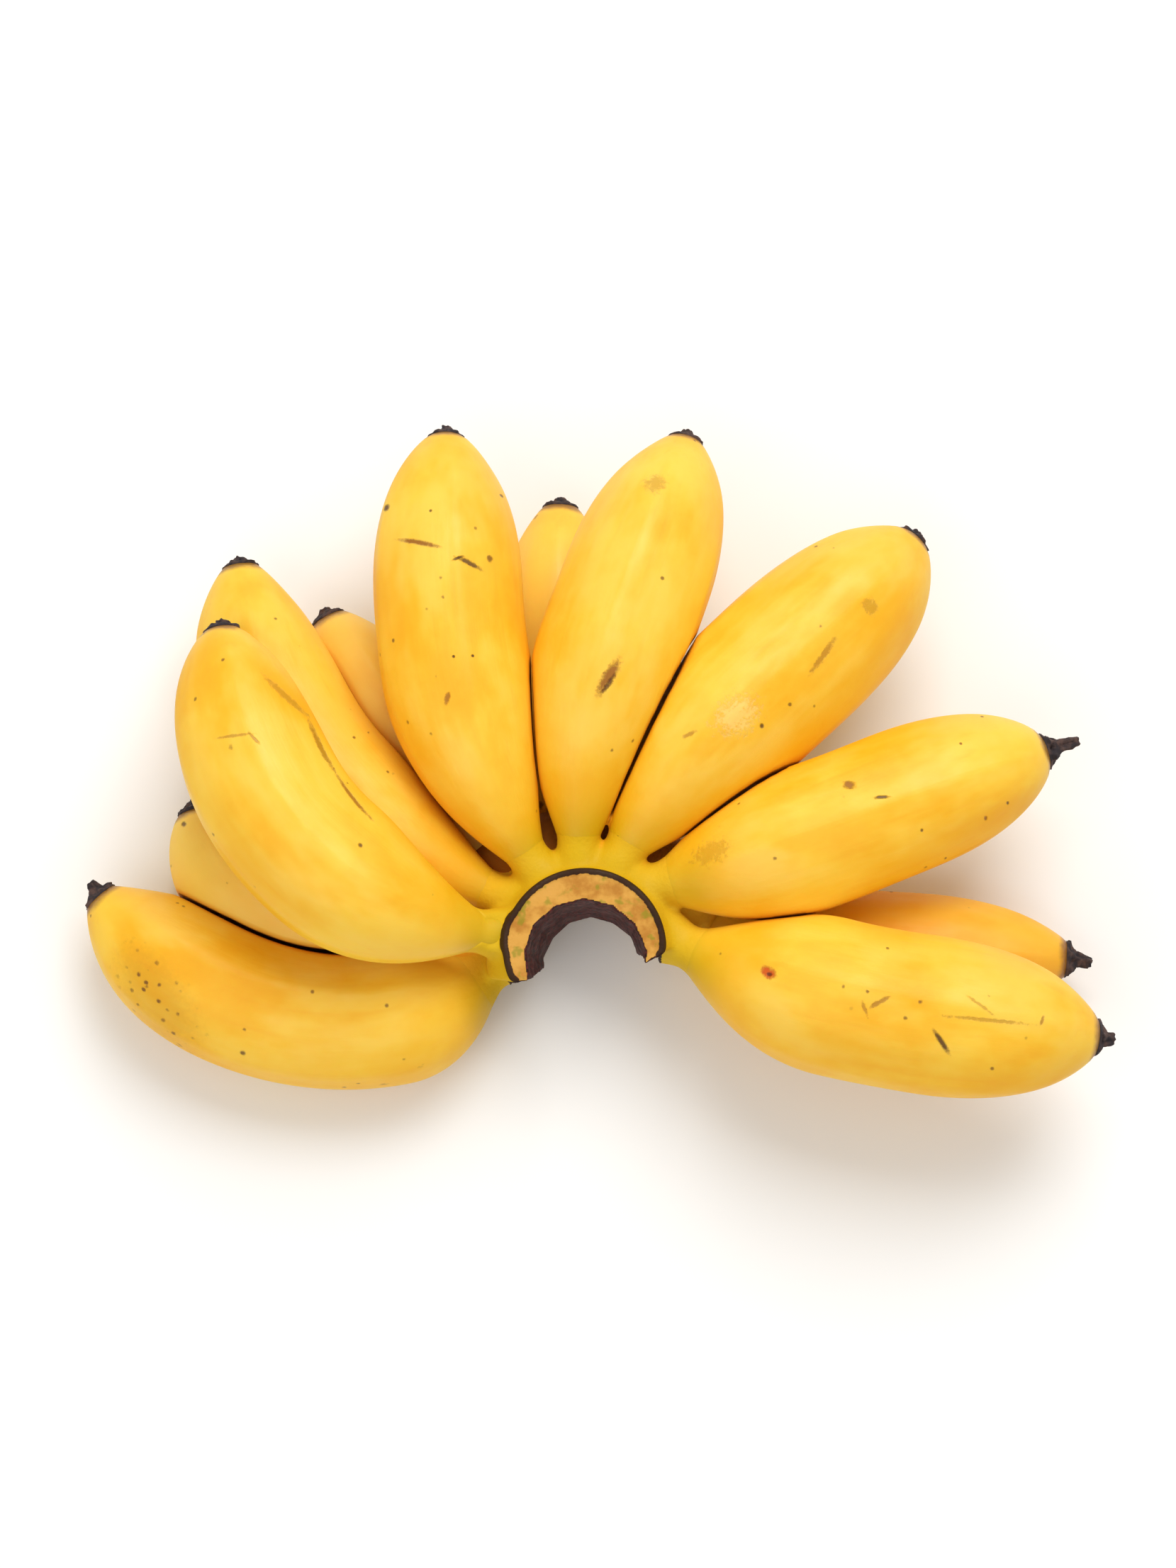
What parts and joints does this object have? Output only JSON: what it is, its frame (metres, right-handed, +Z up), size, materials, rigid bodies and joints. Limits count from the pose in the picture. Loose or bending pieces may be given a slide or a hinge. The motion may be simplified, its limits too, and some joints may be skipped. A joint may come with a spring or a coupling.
{
  "type": "bunch of bananas",
  "caption": "Hand of ripe baby bananas fanned round a cut half-ring crown, lying on a table, with a lower row behind and dried flower remains on the tips.",
  "frame": {"origin": "on the table, below the middle of the hand's bounding box", "axes": "+X along the hand's longest extent, +Y away from the crown's open side, +Z up from the table"},
  "size_m": [0.2518, 0.1676, 0.0707],
  "materials": {
    "ripe_peel": "smooth ripe yellow peel with a soft waxy sheen, greener at the neck, small brown specks and scars",
    "crown_tissue": "yellow-green stalk tissue with a pale dry cut face, a dark brown outline and a dark dried inner wall",
    "dried_flower": "shrivelled dark brown dried flower remains, matt"
  },
  "bodies": {
    "root": {"crown": "crown_tissue", "front_banana_1": "ripe_peel", "front_banana_2": "ripe_peel", "front_banana_3": "ripe_peel", "front_banana_4": "ripe_peel", "front_banana_5": "ripe_peel", "front_banana_6": "ripe_peel", "front_banana_7": "ripe_peel", "front_banana_8": "ripe_peel", "back_banana_1": "ripe_peel", "back_banana_2": "ripe_peel", "back_banana_3": "ripe_peel", "back_banana_4": "ripe_peel", "front_dried_flower_1": "dried_flower", "front_dried_flower_2": "dried_flower", "front_dried_flower_3": "dried_flower", "front_dried_flower_4": "dried_flower", "front_dried_flower_5": "dried_flower", "front_dried_flower_6": "dried_flower", "front_dried_flower_7": "dried_flower", "front_dried_flower_8": "dried_flower", "back_dried_flower_1": "dried_flower", "back_dried_flower_2": "dried_flower", "back_dried_flower_3": "dried_flower", "back_dried_flower_4": "dried_flower"}
  },
  "joints": []
}
